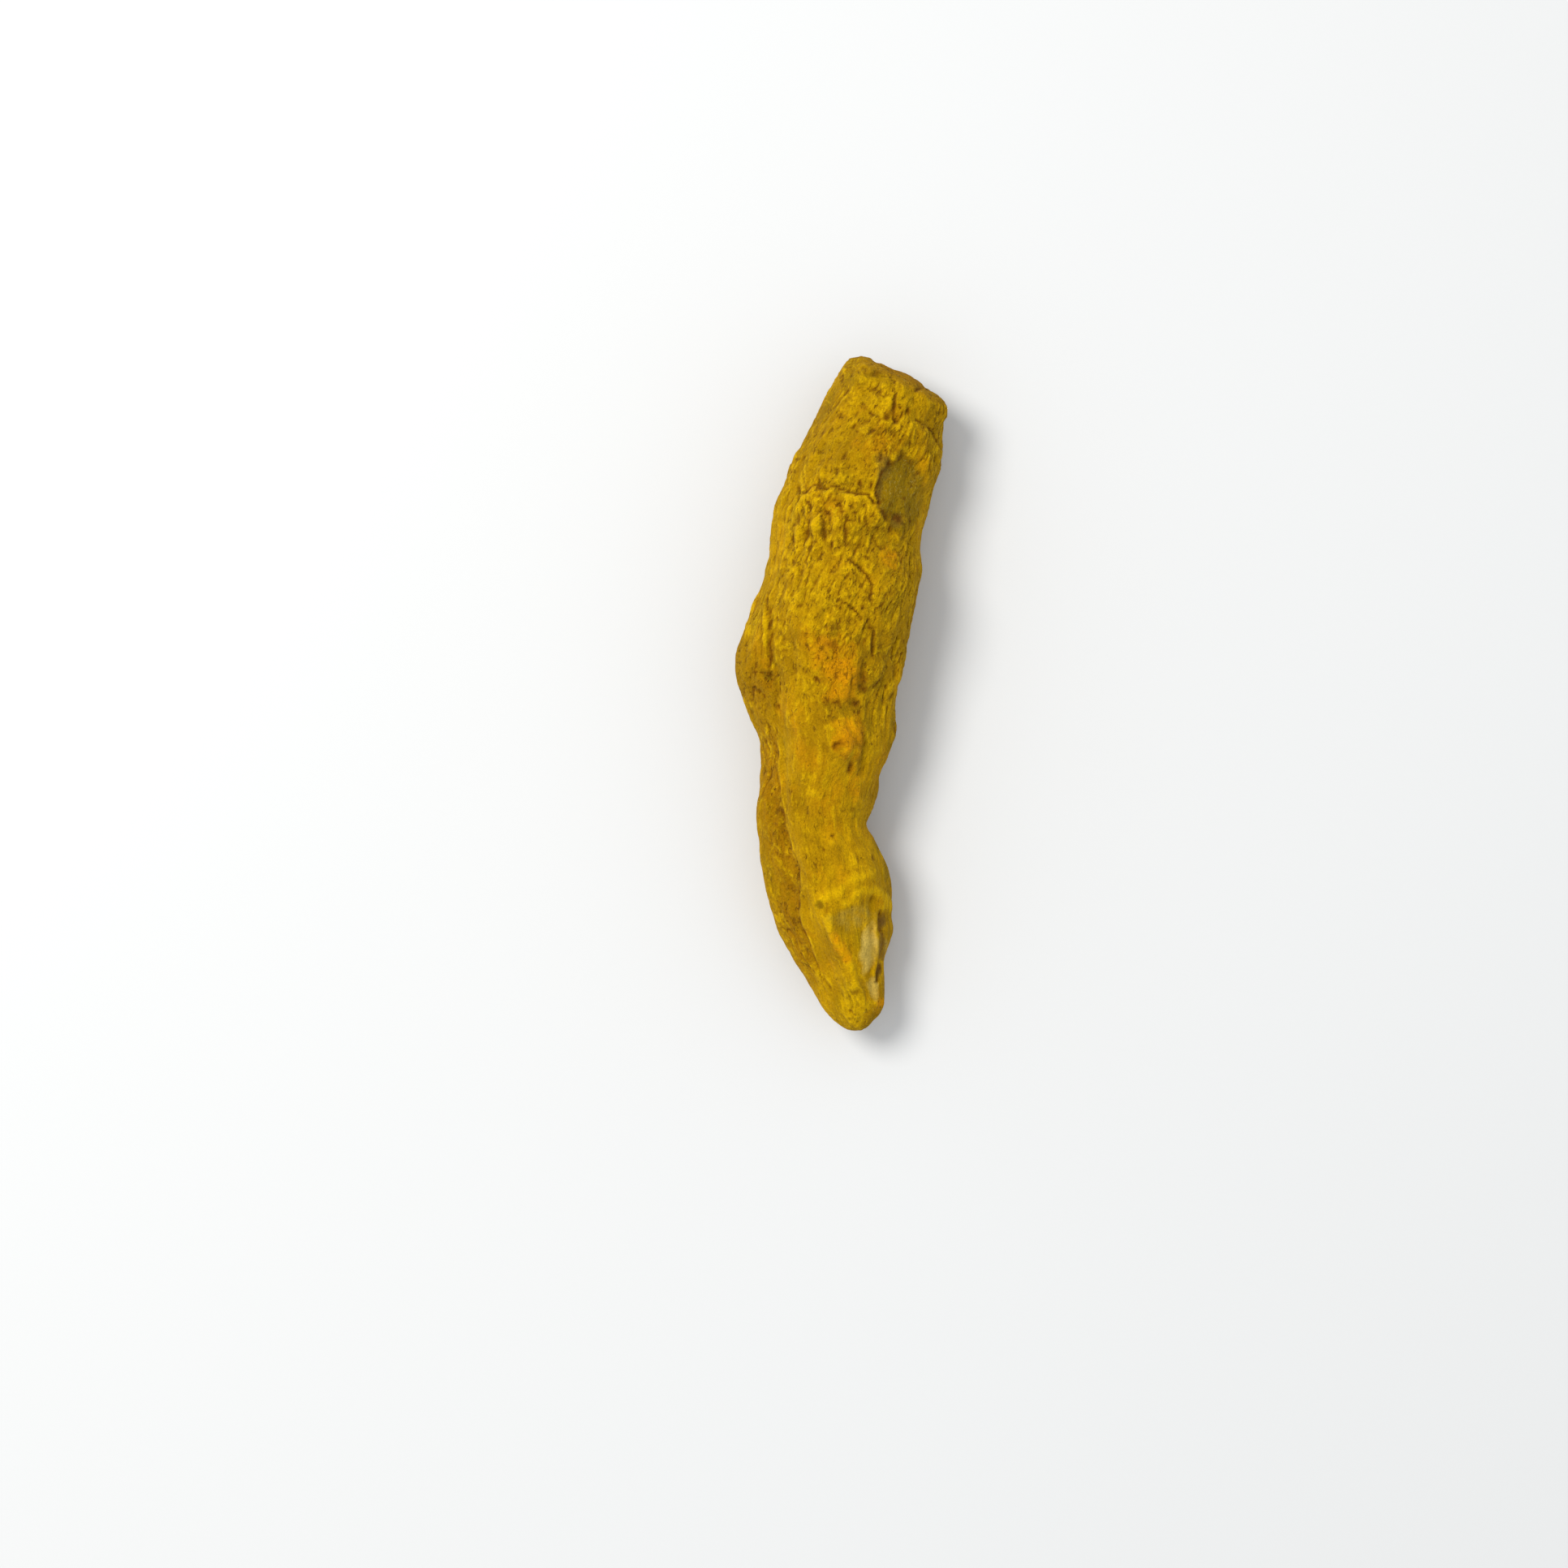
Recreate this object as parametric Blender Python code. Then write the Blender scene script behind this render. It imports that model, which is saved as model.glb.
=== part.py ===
"""A dried turmeric finger lying on its side, grown as one piece and so made as one solid.

The finger lies along Y with its cut end at +Y and its bud tip at -Y. It rests on two small flats
at Z = 0. Lengths below are in millimetres, and angles are in degrees, counted round the finger
from +X (0) over the top (90) to -X (180) and the underside (270).
"""

import math
from collections import namedtuple

import bmesh
import bpy
import numpy as np
from mathutils import Matrix, Vector, noise

NODE_NAME = "turmeric_root"
METRES_PER_MM = 0.001

# Driving dimensions: everything along the finger scales with LENGTH, everything across it with GIRTH
LENGTH = 72.0
GIRTH = 17.0

# The mesh: points round each ring, and rings on each stretch of the finger
POINTS_ROUND = 76
CUT_RINGS = 6
RIM_RINGS = 3
BODY_RINGS = 57
TIP_RINGS = 7

# The cut end: its edge is rounded, and its face is torn and domed with the pith sunk in its middle
RIM_ROUND = 2.1
CUT_DOME = 0.7
CUT_TEAR = 0.35
CUT_TEAR_SIZE = 2.3
PITH_SHARE = 0.60
PITH_DEPTH = 0.42

# The bud tip closes in a round cap of this length
TIP_CAP = 3.1

# Sections from the cut end to the tip. along: share of LENGTH from the middle. sway: the centre's X.
# width and height: full size as a share of GIRTH. rise: the underside's height, below 0 where a
# flat is ground off. turn and lean: how far the section turns towards +X and tips upwards
Section = namedtuple("Section", "along sway width height rise turn lean")
SECTIONS = [
    Section(0.447, 5.85, 0.735, 0.660, 1.50, 28.0, 6.0),
    Section(0.396, 4.42, 0.800, 0.740, 0.80, 17.0, 4.0),
    Section(0.342, 3.02, 0.905, 0.825, 0.10, 9.0, 2.0),
    Section(0.285, 1.58, 0.978, 0.900, -0.72, 4.0, 0.0),
    Section(0.225, 0.62, 0.955, 0.895, -0.62, 1.5, 0.0),
    Section(0.171, 0.28, 1.000, 0.905, 0.25, 0.0, 0.0),
    Section(0.114, -0.30, 0.982, 0.895, 0.55, 0.0, 0.0),
    Section(0.036, -0.95, 0.915, 0.850, 0.70, 0.0, 0.0),
    Section(-0.031, -1.40, 0.865, 0.810, 0.65, 0.0, 0.0),
    Section(-0.097, -1.75, 0.815, 0.770, 0.45, 0.0, 0.0),
    Section(-0.152, -2.30, 0.745, 0.725, 0.35, 0.0, 0.0),
    Section(-0.200, -2.72, 0.700, 0.700, 0.30, -4.0, 0.0),
    Section(-0.238, -2.10, 0.742, 0.735, -0.05, -8.0, 0.0),
    Section(-0.299, -1.00, 0.785, 0.740, -0.66, -8.0, 0.0),
    Section(-0.356, -0.20, 0.715, 0.640, 0.10, -8.0, 0.0),
    Section(-0.412, 0.60, 0.550, 0.500, 1.25, -6.0, 0.0),
    Section(-0.460, 1.38, 0.415, 0.380, 2.40, 0.0, 0.0),
    Section(-0.500, 1.75, 0.300, 0.280, 3.30, 0.0, 0.0),
]

# Buds and knobs that stand out: side angle, share of LENGTH along, half sizes and height. A bud's
# half length towards the tip may differ from the one towards the cut end
Bud = namedtuple("Bud", "side along half_round up_length down_length height")
BUDS = [
    Bud(177, 0.037, 3.8, 5.0, 4.0, 2.85),
    Bud(82, -0.078, 2.0, 1.5, 2.4, 0.75),
    Bud(8, -0.056, 1.6, 1.3, 1.5, 0.75),
    Bud(176, -0.172, 2.2, 1.5, 1.5, 0.32),
    Bud(38, 0.392, 2.6, 2.0, 1.6, 0.45),
    Bud(98, 0.236, 3.4, 2.4, 3.4, 0.28),
    Bud(300, 0.070, 2.6, 2.3, 2.3, 0.80),
    Bud(232, -0.120, 2.1, 1.9, 1.9, 0.60),
    Bud(330, 0.300, 2.2, 1.8, 2.6, 0.45),
]

# Round scars where side fingers broke off: the floor is sunk by depth inside a rim that stands up
Scar = namedtuple("Scar", "side along half_round half_long depth rim")
SCARS = [
    Scar(54, 0.352, 2.95, 3.70, 0.62, 0.10),
    Scar(212, 0.215, 2.30, 2.70, 0.55, 0.26),
    Scar(318, -0.150, 2.10, 2.40, 0.50, 0.24),
]

# Ridges and furrows that run along the finger, each through (side angle, share of LENGTH) points
Line = namedtuple("Line", "route half_wide height")
LINES = [
    Line([(152, 0.135), (153, 0.030)], 0.75, 0.60),
    Line([(98, -0.320), (91, -0.370), (84, -0.415), (72, -0.445)], 0.75, 0.50),
    Line([(46, -0.310), (45, -0.425)], 0.55, -0.42),
    Line([(64, 0.022), (70, -0.030)], 0.80, -0.42),
    Line([(66, 0.120), (60, 0.035)], 0.75, -0.32),
    Line([(34, 0.392), (8, 0.352)], 0.70, -0.48),
    Line([(104, 0.255), (98, 0.150), (106, 0.060)], 0.80, -0.22),
    Line([(128, 0.330), (124, 0.200), (118, 0.140)], 0.80, -0.25),
    Line([(80, 0.160), (86, 0.060), (84, -0.020)], 0.75, -0.24),
    Line([(262, 0.330), (246, 0.020)], 0.90, -0.42),
    Line([(285, 0.180), (292, -0.280)], 0.90, -0.40),
    Line([(335, 0.230), (340, -0.080)], 0.80, -0.28),
    Line([(212, -0.075), (218, -0.360)], 0.80, 0.40),
]

# Ledges: long edges where one lobe stands over the next. The skin drops just past the route,
# towards greater side angles, and comes back up over a wider reach
Ledge = namedtuple("Ledge", "route shoulder reach drop")
LEDGES = [
    Ledge(
        [(136, 0.020), (132, -0.090), (128, -0.165), (120, -0.210), (115, -0.330), (112, -0.440)],
        0.80, 2.6, 0.72,
    ),
    Ledge([(228, 0.300), (236, 0.100), (226, -0.020)], 0.55, 2.2, 0.60),
]

# Rings left by the nodes: each has a groove whose depth is greatest on its own side
Ring = namedtuple("Ring", "along slant half_wide depth all_round side")
RINGS = [
    Ring(0.296, 0.6, 0.72, 0.46, 0.12, 100),
    Ring(0.160, -0.7, 1.00, 0.10, 0.10, 250),
    Ring(0.010, 0.8, 1.00, 0.08, 0.12, 300),
    Ring(-0.105, 0.6, 0.90, 0.06, 0.12, 230),
    Ring(-0.205, 0.5, 1.00, 0.50, 0.14, 8),
    Ring(-0.335, -1.5, 0.75, 0.34, 0.06, 70),
    Ring(-0.402, -0.6, 0.70, 0.06, 0.06, 200),
]

# Lumps and shrinkage wrinkles, by height and by size round and along the finger
LUMP_HEIGHT = 0.50
LUMP_SIZE = 5.5
LUMP_PATCH = Vector((7.3, 1.9, 4.1))
WRINKLE_DEPTH = 0.35
WRINKLE_ROUND = 2.6
WRINKLE_ALONG = 7.5
FINE_DEPTH = 0.19
FINE_ROUND = 1.8
FINE_ALONG = 4.2
FINE_PATCH = Vector((31.0, 17.0, 5.0))
FURROW_STEEPNESS = 3.0
SWIRL = 0.9
SWIRL_SIZE = 5.0
WRINKLE_FULL_RADIUS = 6.5

# How the marks above fade: a route past its ends in mm, a scar's floor and rim in shares of its own
# size, and a ring in radians round from its deepest side
ROUTE_FADE = 1.4
SCAR_FLOOR = 0.82
SCAR_STEEPNESS = 14.0
SCAR_RIM_AT = 1.08
SCAR_RIM_WIDE = 0.22
RING_REACH = 1.0
RING_WANDER = 0.5
RING_WANDER_PACE = 2.0
PITH_STEEPNESS = 22.0

SKIN_COLOUR = (0.45, 0.24, 0.006, 1.0)
SKIN_ROUGHNESS = 0.9


def clear_scene():
    for obj in list(bpy.data.objects):
        bpy.data.objects.remove(obj)


def through(field, at):
    """The value of one field of the sections at a place along the finger, on one smooth curve."""
    knots = np.array([section.along for section in SECTIONS])[::-1]
    values = np.array([getattr(section, field) for section in SECTIONS])[::-1]
    slopes = np.gradient(values, knots)
    at = min(max(at, knots[0]), knots[-1])
    i = min(max(int(np.searchsorted(knots, at)) - 1, 0), len(knots) - 2)
    gap = knots[i + 1] - knots[i]
    t = (at - knots[i]) / gap
    from_left = values[i] + t * t * (3 - 2 * t) * (values[i + 1] - values[i])
    bend = t * (1 - t) * gap * ((1 - t) * slopes[i] - t * slopes[i + 1])
    return float(from_left + bend)


def ring_plan():
    """(share of LENGTH along, share of the section's size, dome) of each ring, cut end first."""
    plan = []
    rim = SECTIONS[0].along
    half = SECTIONS[0].width * GIRTH / 2
    flat_share = 1 - RIM_ROUND / half
    for i in range(1, CUT_RINGS + 1):
        share = i / CUT_RINGS
        plan.append((rim, flat_share * share, CUT_DOME * (1 - share**2) + RIM_ROUND))
    for i in range(1, RIM_RINGS + 1):
        angle = math.radians(90) * i / (RIM_RINGS + 1)
        plan.append((rim, 1 - (1 - math.sin(angle)) * (1 - flat_share), RIM_ROUND * math.cos(angle)))
    tip_start = -0.5 + TIP_CAP / LENGTH
    for i in range(BODY_RINGS):
        plan.append((rim + (tip_start - rim) * i / (BODY_RINGS - 1), 1.0, 0.0))
    for i in range(1, TIP_RINGS + 1):
        angle = math.radians(90) * i / (TIP_RINGS + 1)
        plan.append((tip_start - TIP_CAP / LENGTH * math.sin(angle), math.cos(angle), 0.0))
    return plan


def turned(angle, side):
    """How far angle is from side round the finger, in radians, from -pi to pi."""
    return (angle - side + math.pi) % (2 * math.pi) - math.pi


def bump(x, half):
    return math.exp(-((x / half) ** 2))


def buds(angle, at, radius):
    height = 0.0
    for bud in BUDS:
        across = radius * turned(angle, math.radians(bud.side))
        ahead = (at - bud.along) * LENGTH
        length = bud.up_length if ahead > 0 else bud.down_length
        height += bud.height * bump(across, bud.half_round) * bump(ahead, length)
    return height


def scars(angle, at, radius):
    height = 0.0
    for scar in SCARS:
        across = radius * turned(angle, math.radians(scar.side)) / scar.half_round
        ahead = (at - scar.along) * LENGTH / scar.half_long
        reach = math.hypot(across, ahead)
        floor = 1 / (1 + math.exp((reach - SCAR_FLOOR) * SCAR_STEEPNESS))
        height += scar.rim * bump(reach - SCAR_RIM_AT, SCAR_RIM_WIDE) - scar.depth * floor
    return height


def off_route(route, angle, at, radius):
    """(distance round the finger from a route, how much of the route reaches this place, 0 to 1)."""
    sides, places = zip(*reversed(route))
    side = float(np.interp(at, places, sides))
    past = max(places[0] - at, at - places[-1], 0.0) * LENGTH
    return radius * turned(angle, math.radians(side)), bump(past, ROUTE_FADE)


def lines(angle, at, radius):
    height = 0.0
    for line in LINES:
        across, ends = off_route(line.route, angle, at, radius)
        height += line.height * bump(across, line.half_wide) * ends
    return height


def ledges(angle, at, radius):
    height = 0.0
    for ledge in LEDGES:
        across, ends = off_route(ledge.route, angle, at, radius)
        height -= ledge.drop * bump(across, ledge.reach if across > 0 else ledge.shoulder) * ends
    return height


def rings(angle, at, radius):
    height = 0.0
    for ring in RINGS:
        from_side = turned(angle, math.radians(ring.side))
        ahead = (at - ring.along) * LENGTH - ring.slant * math.cos(from_side)
        wander = Vector((math.cos(angle), math.sin(angle), ring.along * LENGTH)) * RING_WANDER_PACE
        ahead += RING_WANDER * noise.noise(wander)
        depth = ring.all_round + ring.depth * bump(from_side, RING_REACH)
        height -= depth * bump(ahead, ring.half_wide)
    return height


def furrows(place, round_size, long_size):
    """Narrow valleys between rounded crests, drawn out along the finger, from 0 to 1 deep."""
    at = Vector((place.x / round_size, place.z / round_size, place.y / long_size))
    swirl = SWIRL * noise.noise(place / SWIRL_SIZE)
    value = noise.noise(at + Vector((swirl, -swirl, swirl / 2)))
    return 1 - min(1.0, abs(value) * FURROW_STEEPNESS)


def wrinkles(place):
    lumps = LUMP_HEIGHT * noise.noise(place / LUMP_SIZE + LUMP_PATCH)
    coarse = WRINKLE_DEPTH * furrows(place, WRINKLE_ROUND, WRINKLE_ALONG)
    fine = FINE_DEPTH * furrows(place + FINE_PATCH, FINE_ROUND, FINE_ALONG)
    return lumps - coarse - fine


def cut_relief(place, share):
    """The torn face: rough, with the pith sunk inside a ring."""
    pith = PITH_DEPTH / (1 + math.exp((share - PITH_SHARE) * PITH_STEEPNESS))
    return CUT_TEAR * noise.noise(place / CUT_TEAR_SIZE) * (1 - share**2) - pith


def skin_point(at, angle, share, dome):
    """A point of the finger's surface, in millimetres."""
    half_wide = through("width", at) * GIRTH / 2
    half_high = through("height", at) * GIRTH / 2
    turn = math.radians(through("turn", at))
    lean = math.radians(through("lean", at))
    centre = Vector((through("sway", at), at * LENGTH, through("rise", at) + half_high))
    across = Vector((math.cos(turn), -math.sin(turn), 0))
    upwards = Vector((-math.sin(turn) * math.sin(lean), -math.cos(turn) * math.sin(lean), math.cos(lean)))
    outwards = across.cross(upwards) * -1
    facing = Vector((math.cos(angle) / half_wide, math.sin(angle) / half_high)).normalized()
    radius = (half_wide + half_high) / 2

    straight = Vector((half_wide * math.cos(angle), at * LENGTH, half_high * math.sin(angle)))
    straight = Vector((straight.x * share, straight.y + dome, straight.z * share))
    relief = wrinkles(straight) * min(1.0, radius / WRINKLE_FULL_RADIUS)
    relief += (buds(angle, at, radius) + scars(angle, at, radius)) * share
    relief += (lines(angle, at, radius) + ledges(angle, at, radius) + rings(angle, at, radius)) * share
    across_by = (half_wide * math.cos(angle) + relief * facing.x) * share
    upwards_by = (half_high * math.sin(angle) + relief * facing.y) * share
    if dome > 0:
        dome += cut_relief(straight, share)
    return centre + across * across_by + upwards * upwards_by + outwards * dome


def finger_mesh():
    """A sphere's rings, each moved to its section of the finger, with what lies under Z = 0 cut flat."""
    plan = ring_plan()
    bands = len(plan) + 1
    made = bmesh.new()
    bmesh.ops.create_uvsphere(made, u_segments=POINTS_ROUND, v_segments=bands, radius=1)
    for vertex in made.verts:
        band = round(math.acos(max(-1.0, min(1.0, vertex.co.z))) / math.pi * bands)
        angle = math.atan2(vertex.co.y, vertex.co.x)
        if band == 0:
            place = skin_point(SECTIONS[0].along, 0.0, 0.0, CUT_DOME + RIM_ROUND)
        elif band == bands:
            place = skin_point(-0.5, 0.0, 0.0, 0.0)
        else:
            at, share, dome = plan[band - 1]
            place = skin_point(at, angle, share, dome)
        place.z = max(place.z, 0.0)
        vertex.co = place * METRES_PER_MM
    return made


def stand_over_origin(made):
    """The middle of the finger's box goes over the origin. The flats are at Z = 0 already."""
    xs = [vertex.co.x for vertex in made.verts]
    ys = [vertex.co.y for vertex in made.verts]
    middle = Vector(((min(xs) + max(xs)) / 2, (min(ys) + max(ys)) / 2, 0))
    bmesh.ops.transform(made, matrix=Matrix.Translation(-middle), verts=made.verts)


def skin_material():
    material = bpy.data.materials.new("dried_turmeric_skin")
    material.use_nodes = True
    shader = material.node_tree.nodes["Principled BSDF"]
    shader.inputs["Base Color"].default_value = SKIN_COLOUR
    shader.inputs["Roughness"].default_value = SKIN_ROUGHNESS
    shader.inputs["Metallic"].default_value = 0.0
    return material


def main():
    clear_scene()
    made = finger_mesh()
    stand_over_origin(made)
    bmesh.ops.recalc_face_normals(made, faces=made.faces)
    mesh = bpy.data.meshes.new(NODE_NAME)
    made.to_mesh(mesh)
    made.free()
    mesh.materials.append(skin_material())
    mesh.shade_smooth()
    finger = bpy.data.objects.new(NODE_NAME, mesh)
    bpy.context.scene.collection.objects.link(finger)


main()
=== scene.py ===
"""The looks of a dried turmeric finger: its wrinkled, powdery skin, its scars and crack, and a stage.

The finger lies along Y with its cut end at +Y and its bud tip at -Y. What the photograph shows of it
is placed by its pixel there, seen from straight above. What lies hidden is placed by its side angle,
from +X (0) over the top (90) to -X (180) and the underside (270), and by its place along the finger.
"""

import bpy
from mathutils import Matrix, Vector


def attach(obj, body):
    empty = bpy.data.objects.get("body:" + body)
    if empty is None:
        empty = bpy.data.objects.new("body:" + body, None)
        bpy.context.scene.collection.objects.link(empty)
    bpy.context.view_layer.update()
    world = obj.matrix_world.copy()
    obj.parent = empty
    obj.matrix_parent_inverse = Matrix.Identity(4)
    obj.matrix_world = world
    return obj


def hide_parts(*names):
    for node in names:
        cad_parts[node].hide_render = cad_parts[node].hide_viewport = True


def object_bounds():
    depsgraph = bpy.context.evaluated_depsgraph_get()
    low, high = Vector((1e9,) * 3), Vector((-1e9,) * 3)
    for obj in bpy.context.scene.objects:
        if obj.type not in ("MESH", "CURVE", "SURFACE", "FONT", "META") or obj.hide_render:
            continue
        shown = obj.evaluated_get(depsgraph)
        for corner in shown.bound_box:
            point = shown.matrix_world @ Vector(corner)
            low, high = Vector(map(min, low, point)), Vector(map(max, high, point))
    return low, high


bl_info = {
    "name": "Dried Turmeric Finger",
    "version": (1, 0, 0),
    "blender": (4, 5, 0),
    "location": "3D View > Sidebar > Turmeric",
    "description": "Gives a turmeric finger its skin and sets it on a stage",
    "category": "Object",
}

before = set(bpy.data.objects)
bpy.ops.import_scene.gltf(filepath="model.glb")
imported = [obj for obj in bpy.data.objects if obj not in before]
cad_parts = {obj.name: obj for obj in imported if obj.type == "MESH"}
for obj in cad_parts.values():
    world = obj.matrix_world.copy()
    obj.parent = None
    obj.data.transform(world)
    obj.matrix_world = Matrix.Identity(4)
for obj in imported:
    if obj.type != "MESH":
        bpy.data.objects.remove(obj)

import math
from collections import namedtuple

import bmesh
import bpy
import numpy as np
from bpy.props import FloatProperty, FloatVectorProperty, IntProperty, PointerProperty
from mathutils import noise

NODE = "turmeric_root"
BODY = "root"
MM = 0.001
CAD_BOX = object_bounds()

# The photograph: its side, its scale on the finger, and the pixel over the middle of the finger's box
IMAGE_SIDE = 1932
PIXELS_PER_MM = 11.54
MIDDLE_PIXEL = (1036.5, 854.5)

# Where a mark is: over a pixel of the photograph, or at a side angle and millimetres from the middle
Above = namedtuple("Above", "x y")
Around = namedtuple("Around", "side along")

# The cut face looks this way, turned towards +X and up from +Y
CUT_TURN = 28.0
CUT_LEAN = 6.0

# Scars where side fingers broke off: half sizes in mm, and which way their wall is sharpest, counted
# from +X towards the cut end. On the other side the floor rises softly into the skin
Scar = namedtuple("Scar", "where half_wide half_long sharpest")
SCARS = [
    Scar(Above(1112, 608), 2.95, 3.75, 160),
    Scar(Around(212, 15.5), 2.3, 2.7, 60),
    Scar(Around(318, -10.8), 2.1, 2.4, 200),
]

# Pits and clefts: half sizes in mm, turn in degrees and depth in mm
Pit = namedtuple("Pit", "where half_wide half_long turn depth")
PITS = [
    Pit(Above(1066, 507), 0.30, 0.22, 0, 0.12),
    Pit(Above(1091, 519), 0.34, 0.30, 30, 0.48),
    Pit(Above(1103, 522), 0.42, 0.22, 35, 0.44),
    Pit(Above(1100, 506), 0.22, 0.75, 8, 0.42),
    Pit(Above(1118, 510), 0.30, 0.42, 0, 0.38),
    Pit(Above(1073, 513), 0.34, 0.20, 30, 0.28),
    Pit(Above(1062, 500), 0.18, 0.28, -20, 0.14),
    Pit(Above(1132, 481), 0.62, 0.22, -38, 0.30),
    Pit(Above(1079, 464), 0.80, 0.34, -10, 0.16),
    Pit(Above(1043, 485), 0.24, 0.55, 35, 0.20),
    Pit(Above(1035, 516), 0.20, 0.34, 15, 0.18),
    Pit(Above(1013, 537), 0.18, 0.50, 25, 0.20),
    Pit(Above(1040, 566), 0.22, 0.60, 30, 0.20),
    Pit(Above(1031, 583), 0.20, 0.42, 0, 0.20),
    Pit(Above(1058, 598), 0.26, 0.30, 0, 0.26),
    Pit(Above(984, 606), 0.18, 0.60, -10, 0.24),
    Pit(Above(1095, 655), 0.22, 0.40, 20, 0.26),
    Pit(Above(1105, 642), 0.34, 0.50, -35, 0.26),
    Pit(Above(1058, 645), 0.16, 0.46, 0, 0.22),
    Pit(Above(1015, 658), 0.24, 1.00, -5, 0.46),
    Pit(Above(994, 662), 0.22, 0.80, 4, 0.44),
    Pit(Above(1041, 664), 0.20, 0.80, 8, 0.36),
    Pit(Above(1024, 676), 0.20, 0.55, 5, 0.36),
    Pit(Above(978, 668), 0.18, 0.60, 0, 0.34),
    Pit(Above(1066, 716), 0.16, 0.40, 30, 0.20),
    Pit(Above(1072, 742), 0.18, 0.70, -5, 0.24),
    Pit(Above(1074, 794), 0.18, 1.10, 3, 0.24),
    Pit(Above(1048, 752), 0.46, 0.20, 30, 0.20),
    Pit(Above(1008, 790), 0.18, 0.34, 10, 0.16),
    Pit(Above(1006, 838), 0.40, 0.18, 35, 0.20),
    Pit(Above(1062, 838), 0.34, 0.85, 5, 0.26),
    Pit(Above(1063, 850), 0.42, 0.30, 0, 0.30),
    Pit(Above(1030, 867), 0.30, 0.26, 0, 0.20),
    Pit(Above(1053, 868), 0.34, 0.34, 0, 0.22),
    Pit(Above(1030, 917), 0.46, 0.20, -35, 0.50),
    Pit(Above(1047, 943), 0.26, 0.40, 0, 0.24),
    Pit(Above(1046, 950), 0.24, 0.30, 0, 0.24),
    Pit(Above(946, 831), 0.42, 0.24, 10, 0.28),
    Pit(Above(929, 848), 0.26, 0.42, 20, 0.22),
    Pit(Above(958, 871), 0.20, 0.20, 0, 0.22),
    Pit(Above(1103, 899), 0.18, 0.62, -12, 0.26),
    Pit(Above(1050, 998), 0.24, 0.18, -20, 0.16),
    Pit(Above(1026, 1029), 0.30, 0.26, 0, 0.18),
    Pit(Above(1015, 1047), 0.14, 0.34, -20, 0.18),
    Pit(Above(1057, 1060), 0.16, 0.60, -15, 0.18),
    Pit(Above(1075, 1057), 0.18, 0.30, 0, 0.18),
    Pit(Above(1011, 1114), 0.26, 0.30, 0, 0.16),
    Pit(Above(1048, 1245), 0.20, 0.20, 0, 0.18),
    Pit(Above(1023, 1217), 0.16, 0.50, -25, 0.20),
]

# Lumps: half sizes in mm, turn in degrees and height in mm, which is below 0 for a soft hollow
Lump = namedtuple("Lump", "where half_wide half_long turn height")
LUMPS = [
    Lump(Above(1005, 648), 0.50, 1.30, 4, 0.40),
    Lump(Above(1030, 646), 0.70, 1.20, 4, 0.38),
    Lump(Above(986, 656), 0.48, 1.00, 8, 0.40),
    Lump(Above(1056, 656), 0.70, 1.10, 10, 0.34),
    Lump(Above(1000, 617), 0.90, 0.50, 8, 0.18),
    Lump(Above(1040, 617), 1.20, 0.40, -8, 0.16),
    Lump(Above(1066, 634), 0.70, 0.60, 0, 0.16),
    Lump(Above(1010, 585), 0.60, 0.80, 20, 0.14),
    Lump(Above(1060, 545), 0.80, 0.60, 10, 0.12),
    Lump(Above(1000, 775), 0.60, 0.70, 0, 0.12),
    Lump(Above(943, 786), 0.20, 2.90, -2, 0.30),
    Lump(Above(1036, 872), 2.10, 0.95, 4, -0.22),
    Lump(Above(1057, 874), 0.60, 1.20, 0, -0.16),
    Lump(Above(1038, 907), 1.65, 1.75, 0, 0.52),
    Lump(Above(1041, 923), 0.42, 0.52, -30, 0.26),
    Lump(Above(1017, 848), 0.60, 0.90, 0, 0.12),
    Lump(Above(1048, 1252), 0.50, 0.30, 0, 0.14),
]

# Routes seen from above, through pixels: a crack with a raised lip, a crease by the cut end, the long
# ledge on the left, and the tip's ridges
CRACK = [(984, 621), (986, 611), (994, 608), (1005, 603), (1017, 605), (1030, 604), (1041, 609),
         (1054, 613), (1066, 612), (1072, 618), (1076, 624), (1084, 623)]
CREASE = [(1127, 521), (1139, 525), (1147, 532), (1153, 543), (1159, 553)]
LEDGE = [(958, 905), (959, 945), (962, 980), (967, 1003), (971, 1028), (977, 1047), (985, 1070),
         (986, 1100), (984, 1125), (988, 1140), (995, 1154), (1001, 1170), (1007, 1185), (1015, 1202),
         (1024, 1220)]
ARCH = [(1012, 1108), (1018, 1105), (1034, 1097), (1050, 1086), (1060, 1081), (1072, 1078)]
ARCH_FOLD = [(1042, 1113), (1050, 1105), (1059, 1099), (1070, 1097), (1079, 1097), (1089, 1107),
             (1097, 1118)]
TIP_RIDGE = [(1019, 1130), (1024, 1146), (1031, 1159), (1038, 1171), (1048, 1191), (1051, 1211)]
SLIT_RIDGE = [(1079, 1143), (1080, 1165), (1079, 1186), (1076, 1203)]

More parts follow.
